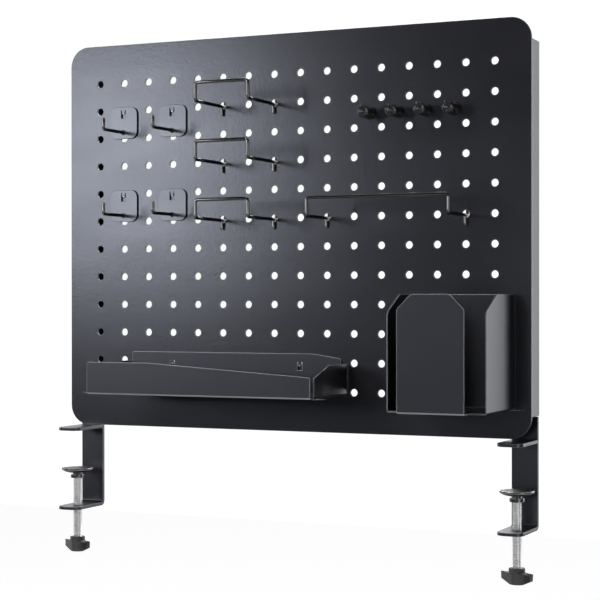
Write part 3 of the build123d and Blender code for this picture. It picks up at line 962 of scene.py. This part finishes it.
    def _knob(self) -> Bench:
        """The knob: two tapered wings hulled round a foot, with the hub drawn up from them.

        Returns:
            The mesh on the bench, drawn from the knob's top.
        """
        bench = bmesh.new()
        rings = ((self.hub_radius, self.hub_height), (self.foot_radius, self.knob_height))
        for radius, depth in rings:
            bmesh.ops.create_circle(
                bench,
                cap_ends=False,
                segments=self.knob_facets,
                radius=radius * MM,
                matrix=Matrix.Translation((0.0, 0.0, -depth * MM)),
            )
        size = Vector((2 * self.tip_reach, self.tip_width, self.tip_top - self.tip_foot)) * MM
        middle = Vector((0.0, 0.0, (self.tip_top + self.tip_foot) / 2)) * MM
        bmesh.ops.create_cube(bench, size=1.0, matrix=Matrix.LocRotScale(middle, None, size))
        hull = bmesh.ops.convex_hull(bench, input=bench.verts[:])
        spare = [item for item in hull["geom_interior"] + hull["geom_unused"] if item.is_valid]
        inner = [item for item in spare if isinstance(item, bmesh.types.BMVert)]
        bmesh.ops.delete(bench, geom=inner, context="VERTS")
        loose = [edge for edge in bench.edges if not edge.link_faces]
        bmesh.ops.delete(bench, geom=loose, context="EDGES")
        merge(bench)
        flatten(bench, self.knob_flat_degrees)
        top = max(bench.faces, key=lambda face: face.calc_center_median().z)
        self._raise(bench, top, self.hub_height)
        top = max(bench.faces, key=lambda face: face.calc_center_median().z)
        bmesh.ops.inset_region(bench, faces=[top], thickness=(self.hub_radius - self.bore_radius) * MM)
        self._raise(bench, top, -self.hub_height)
        ease(bench, sharp_edges(bench, self.knob_sharp_degrees), self.knob_ease, self.knob_ease_segments)
        bmesh.ops.recalc_face_normals(bench, faces=bench.faces)
        return bench

    @staticmethod
    def _raise(bench: Bench, face: bmesh.types.BMFace, height: float) -> None:
        """Draws a face up or down by a height in millimetres."""
        drawn = bmesh.ops.extrude_discrete_faces(bench, faces=[face])["faces"]
        bmesh.ops.translate(bench, verts=drawn[0].verts[:], vec=(0.0, 0.0, height * MM))

    def _screw(self) -> None:
        """Threaded rod with its captive button, the collar and the knob."""
        rod = joined([self._thread(), turned(self.button_profile, self.button_facets)])
        rod = placed(rod, self.place)
        self._show(rod, "threaded_rod", "screw", Look.ZINC, "clamp_screw", self.thread_crease)
        collar = turned(self.collar_profile)
        ease(collar, sharp_edges(collar), self.collar_ease)
        collar = placed(collar, self.place)
        self._show(collar, "collar_ring", "screw", Look.BLACK_STEEL, "screw_collar")
        down = Matrix.Translation((0.0, 0.0, self.knob_top * MM))
        turn = Matrix.Rotation(math.radians(self.knob_angle), 4, "Z")
        knob = placed(self._knob(), self.place @ down @ turn)
        self._show(knob, "winged_knob", "screw", Look.KNOB, "clamp_knob")

    def build(self) -> None:
        """Builds every piece of the clamp."""
        self._bracket()
        self._pad()
        self._screw()


@dataclass
class SheetAccessory:
    """The tray or the cup holder, folded from one sheet."""

    node: str
    ease_mm: float = 0.3
    fold_slope: float = 0.25

    def build(self) -> None:
        """Builds the folded sheet, with the front fold marked for the painted edge highlight."""
        bench = eased_copy(self.node, self.ease_mm)
        mark = bench.faces.layers.float[PAINTED_EDGE_MASK]
        # The front fold's faces take the lighter edge colour: a painted highlight.
        for face in bench.faces:
            if face.normal.y < -self.fold_slope and face.normal.z < -self.fold_slope:
                face[mark] = 1.0
        shown_piece(bench, f"{self.node}_sheet", self.node, Look.ACCESSORY, [self.node])


@dataclass
class SingleHook:
    """A rounded plate with one wire."""

    number: int
    column: int
    row: int
    wire_diameter: float = 3.0
    wire_drop: float = 20.2
    reach: float = 37.0
    tip: float = 10.0
    bend_radius: float = 2.6
    plate_front: float = 1.8
    plate_ease: float = 0.3
    tip_ease: float = 0.35
    weld_radius: float = 2.4
    weld_depth: float = 0.8
    weld_rim: float = 0.2
    weld_facets: int = 24

    @property
    def body(self) -> str:
        """The hook's CAD body."""
        return f"single_hook_{self.number}"

    def build(self) -> None:
        """Builds plate, wire and weld."""
        plate = eased_copy(f"{self.body}_plate", self.plate_ease)
        shown_piece(plate, f"{self.body}_pressed_plate", self.body, Look.PLATE, [f"{self.body}_plate"])
        start_y = GRID.front_y - self.plate_front
        start = Vector((GRID.x(self.column), start_y, GRID.z(self.row) - self.wire_drop))
        wire = BentWire(start, FRONT, self.wire_diameter, self.tip_ease)
        straight = self.reach - self.plate_front - self.bend_radius - wire.ease / MM
        wire.run(straight).bend(UP, self.bend_radius)
        bent = wire.run(self.tip - self.bend_radius - wire.ease / MM).cut()
        shown_piece(bent, f"{self.body}_bent_wire", self.body, Look.WIRE, [f"{self.body}_wire"])
        rim = self.wire_diameter / 2 + self.weld_rim
        profile = ((0.0, 0.0), (self.weld_radius, 0.0), (rim, self.weld_depth), (0.0, self.weld_depth))
        bead = placed(turned(profile, self.weld_facets), Matrix.Translation(start * MM) @ TO_FRONT)
        shown_piece(bead, f"{self.body}_weld", self.body, Look.PLATE)


@dataclass
class TwoLegHook:
    """A wire hook with two prongs, two legs, two risers and a bar, and its stops."""

    body: str
    left_column: int
    right_column: int
    row: int
    reach: float
    wire_diameter: float = 3.0
    leg_drop: float = 1.16
    rise: float = 15.7
    bend_radius: float = 2.6
    prong_bend: float = 2.8
    prong_stand_off: float = 1.41
    prong_height: float = 11.0
    stop_diameter: float = 2.8
    stop_length: float = 8.4
    stop_gap: float = 0.3
    stop_ease: float = 0.4

    def _wire(self) -> Bench:
        """The wire, bent from the left prong's tip to the right prong's.

        Returns:
            The mesh on the bench.
        """
        prong_y = GRID.rear_y + self.wire_diameter / 2 + self.prong_stand_off
        top = GRID.z(self.row) + self.prong_height
        wire = BentWire(Vector((GRID.x(self.left_column), prong_y, top)), DOWN, self.wire_diameter)
        end = wire.ease / MM
        prong = self.prong_height + self.leg_drop - self.prong_bend - end
        front_y = GRID.front_y - self.reach
        leg = prong_y - front_y - self.prong_bend - self.bend_radius
        riser = self.rise - 2 * self.bend_radius
        bar = GRID.x(self.right_column) - GRID.x(self.left_column) - 2 * self.bend_radius
        wire.run(prong).bend(FRONT, self.prong_bend).run(leg).bend(UP, self.bend_radius)
        wire.run(riser).bend(RIGHT, self.bend_radius).run(bar).bend(DOWN, self.bend_radius)
        wire.run(riser).bend(REAR, self.bend_radius).run(leg).bend(UP, self.prong_bend)
        return wire.run(prong).cut()

    def _stops(self) -> Bench:
        """The short wires under the legs.

        Returns:
            The mesh on the bench.
        """
        leg_z = GRID.z(self.row) - self.leg_drop
        y = GRID.front_y - self.stop_gap - self.stop_diameter / 2
        sink = self.wire_diameter / 4
        stops = []
        for column in (self.left_column, self.right_column):
            start = Vector((GRID.x(column), y, leg_z - self.stop_length))
            stop = BentWire(start, UP, self.stop_diameter, self.stop_ease)
            stops.append(stop.run(self.stop_length - sink - 2 * stop.ease / MM).cut())
        return joined(stops)

    def build(self) -> None:
        """Builds wire and stops."""
        shown_piece(self._wire(), f"{self.body}_bent_wire", self.body, Look.WIRE, [f"{self.body}_wire"])
        stops = self._stops()
        shown_piece(stops, f"{self.body}_stop_pins", self.body, Look.WIRE, [f"{self.body}_stops"])


@dataclass
class MagneticPin:
    """A waisted pin with a magnet let into its foot."""

    number: int
    column: float
    row: float = 1.52
    facets: int = 40
    rim_degrees: float = 70.0
    rim_ease: float = 0.3
    crease: float = 60.0
    body_profile: Profile = (
        (0.0, 2.5),
        (4.05, 2.5),
        (4.05, 0.0),
        (5.4, 0.0),
        (5.4, 2.1),
        (5.0, 2.7),
        (4.6, 2.9),
        (3.9, 4.3),
        (3.2, 6.6),
        (3.2, 10.2),
        (3.9, 12.0),
        (5.0, 12.9),
        (5.4, 13.5),
        (5.4, 14.4),
        (5.05, 14.8),
        (5.05, 15.2),
        (5.4, 15.6),
        (5.4, 17.0),
        (5.0, 17.7),
        (4.4, 18.0),
        (3.8, 17.9),
        (3.4, 17.4),
        (2.9, 17.2),
        (2.3, 17.4),
        (1.4, 17.8),
        (0.0, 18.0),
    )
    magnet_profile: Profile = ((0.0, 0.0), (3.7, 0.0), (4.0, 0.3), (4.0, 2.5), (0.0, 2.5))

    def build(self) -> None:
        """Builds the pin's body and its magnet."""
        body = f"magnetic_pin_{self.number}"
        foot = Vector((GRID.x(self.column), GRID.front_y, GRID.z(self.row))) * MM
        place = Matrix.Translation(foot) @ TO_FRONT
        waisted = turned(self.body_profile, self.facets)
        ease(waisted, sharp_edges(waisted, self.rim_degrees), self.rim_ease)
        waisted = placed(waisted, place)
        shown_piece(waisted, f"{body}_handle", body, Look.PIN, [f"{body}_body"], self.crease)
        disc = placed(turned(self.magnet_profile, self.facets), place)
        shown_piece(disc, f"{body}_disc", body, Look.MAGNET, [f"{body}_magnet"])


@dataclass
class PhotoCamera:
    """The photograph's camera: its place in metres and its axes, in the CAD frame."""

    centre: Triple = (0.62728, -1.364, 0.12003)
    right: Triple = (0.909528, 0.415642, -0.000273)
    up: Triple = (-0.0011935, 0.0032693, 0.999994)
    back: Triple = (0.4156404, -0.9095224, 0.0034696)
    lens: float = 101.34
    sensor: float = 36.0
    shift_up: float = 0.0095
    nearest: float = 0.05
    farthest: float = 50.0

    def build(self) -> None:
        """Adds the camera and makes it the scene's."""
        data = bpy.data.cameras.new("photo_camera")
        data.lens = self.lens
        data.sensor_width = self.sensor
        data.shift_y = self.shift_up
        data.clip_start = self.nearest
        data.clip_end = self.farthest
        camera = bpy.data.objects.new("photo_camera", data)
        turn = Matrix((self.right, self.up, self.back)).transposed().to_4x4()
        camera.matrix_world = Matrix.Translation(self.centre) @ turn
        bpy.context.scene.collection.objects.link(camera)
        bpy.context.scene.camera = camera


@dataclass(frozen=True)
class Softbox:
    """A soft lamp: where it stands, where it points, its size, its power and whether metal shows it."""

    name: str
    at: Triple
    aim: Triple
    width: float
    height: float
    watts: float
    mirrored: bool = True

    def build(self) -> None:
        """Adds the lamp."""
        data = bpy.data.lights.new(self.name, "AREA")
        data.shape = "RECTANGLE"
        data.size = self.width
        data.size_y = self.height
        data.energy = self.watts
        lamp = bpy.data.objects.new(self.name, data)
        lamp.visible_camera = False
        lamp.visible_glossy = self.mirrored
        facing = (Vector(self.aim) - Vector(self.at)).to_track_quat("-Z", "Y")
        lamp.matrix_world = Matrix.Translation(self.at) @ facing.to_matrix().to_4x4()
        bpy.context.scene.collection.objects.link(lamp)


@dataclass
class Studio:
    """Pale floor, white backdrop and soft lamps."""

    floor_z: float = -0.8
    floor_size: Span = (14.0, 14.0)
    backdrop_y: float = 5.0
    backdrop_size: Span = (12.0, 8.0)
    paper: Colour = (0.3, 0.3, 0.3)
    floor_glow: float = 0.95
    ambient: float = 0.05
    lamps: Sequence[Softbox] = (
        Softbox("left_softbox", (-1.13, -1.62, 0.415), (-0.15, 0.0, 0.23), 0.48, 0.46, 8.0),
        Softbox("high_left_softbox", (-1.1, -1.25, 1.5), (0.0, 0.0, 0.1), 1.0, 0.8, 54.0, False),
        Softbox("glint_lamp", (-0.2, -1.3, 1.8), (0.0, 0.0, 0.2), 0.12, 0.12, 6.0),
        Softbox("overhead_softbox", (0.0, 0.3, 2.4), (0.0, 0.0, 0.0), 2.0, 2.0, 10.0),
        Softbox("right_softbox", (1.5, -1.05, -0.1), (0.1, 0.0, 0.0), 0.7, 1.3, 8.0),
        Softbox("left_fill", (-2.0, 0.15, 0.0), (-0.2, 0.0, 0.0), 1.0, 1.5, 7.0),
        Softbox("low_front_fill", (0.05, -2.2, 0.0), (0.2, 0.0, 0.0), 0.46, 0.6, 2.6),
        Softbox("rear_high_softbox", (-0.4, 1.7, 1.6), (0.0, 0.0, 0.15), 1.4, 1.0, 45.0),
        Softbox("rear_right_softbox", (1.5, 1.5, 0.2), (0.1, 0.0, 0.2), 1.0, 1.2, 12.0),
    )

    def _sheet(self, name: str, size: Span, place: Matrix) -> bpy.types.Object:
        """A flat stage sheet.

        Args:
            name: The sheet's name.
            size: Its size along its own X and Y.
            place: Where it lies.

        Returns:
            The object.
        """
        bench = bmesh.new()
        stretch = Matrix.Diagonal((*size, 1.0, 1.0))
        bmesh.ops.create_grid(bench, x_segments=1, y_segments=1, size=0.5, matrix=place @ stretch)
        mesh = bpy.data.meshes.new(name)
        bench.to_mesh(mesh)
        bench.free()
        sheet = bpy.data.objects.new(name, mesh)
        bpy.context.scene.collection.objects.link(sheet)
        return sheet

    def _white_paper(self, name: str, glow: float, mirrored: float) -> bpy.types.Material:
        """Matt paper that the camera sees as white and that still takes shadows.

        Args:
            name: The material's name.
            glow: What is added for the camera's rays.
            mirrored: The share of it that glossy surfaces reflect.

        Returns:
            The material.
        """
        material = bpy.data.materials.new(name)
        tree = NodeTree(material)
        tree.nodes.clear()
        rays = tree.node("ShaderNodeLightPath").outputs
        seen = tree.maths("MULTIPLY_ADD", rays["Is Glossy Ray"], mirrored, rays["Is Camera Ray"])
        glowing = tree.node("ShaderNodeEmission")
        tree.feed(glowing.inputs["Strength"], tree.maths("MULTIPLY", seen, glow))
        matt = tree.node("ShaderNodeBsdfDiffuse")
        tree.feed(matt.inputs["Color"], self.paper)
        both = tree.node("ShaderNodeAddShader")
        tree.feed(both.inputs[0], glowing.outputs[0])
        tree.feed(both.inputs[1], matt.outputs[0])
        tree.feed(tree.node("ShaderNodeOutputMaterial").inputs["Surface"], both.outputs[0])
        return material

    def _world(self) -> None:
        """White for the camera, and a dim even light for everything else."""
        world = bpy.data.worlds.new("studio_air")
        tree = NodeTree(world)
        air = tree.nodes["Background"].inputs
        seen = tree.node("ShaderNodeLightPath").outputs["Is Camera Ray"]
        tree.feed(air["Strength"], tree.between(seen, WHOLE, (self.ambient, 1.0)))
        tree.feed(air["Color"], (1.0, 1.0, 1.0))
        bpy.context.scene.world = world

    def build(self) -> None:
        """Builds floor, backdrop, world and lamps."""
        ground = Matrix.Translation((0.0, 0.0, self.floor_z))
        floor = self._sheet("studio_floor", self.floor_size, ground)
        floor.data.materials.append(self._white_paper("floor_paper", self.floor_glow, mirrored=0.0))
        middle_z = self.floor_z + self.backdrop_size[1] / 2
        place = Matrix.Translation((0.0, self.backdrop_y, middle_z)) @ TO_FRONT
        backdrop = self._sheet("studio_backdrop", self.backdrop_size, place)
        backdrop.data.materials.append(self._white_paper("backdrop_paper", 1.0, mirrored=1.0))
        self._world()
        for lamp in self.lamps:
            lamp.build()


def build_organizer() -> None:
    """Builds the object's pieces, assembly by assembly."""
    Board().build()
    DeskClamp(Side.LEFT, pad_drop=35.4, knob_angle=-19.0).build()
    DeskClamp(Side.RIGHT, pad_drop=37.1, knob_angle=-23.0).build()
    for node in ("tray", "cup_holder"):
        SheetAccessory(node).build()
    for number, (column, row) in enumerate(((1, 1), (3, 1), (1, 4), (3, 4)), start=1):
        SingleHook(number, column, row).build()
    for number, row in enumerate((1, 3, 5), start=1):
        TwoLegHook(f"double_hook_{number}", left_column=5, right_column=7, row=row, reach=52.4).build()
    TwoLegHook("wide_hook", left_column=9, right_column=14, row=5, reach=43.6).build()
    for number, column in enumerate((10.6, 11.6, 12.6, 13.6), start=1):
        MagneticPin(number, column).build()


def main() -> None:
    """Builds the studio, the camera and the object."""
    logging.basicConfig(level=logging.INFO, format="%(message)s")
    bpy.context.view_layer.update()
    PhotoCamera().build()
    Studio().build()
    bpy.context.scene.view_settings.view_transform = "Standard"
    build_organizer()


if __name__ == "__main__":
    main()
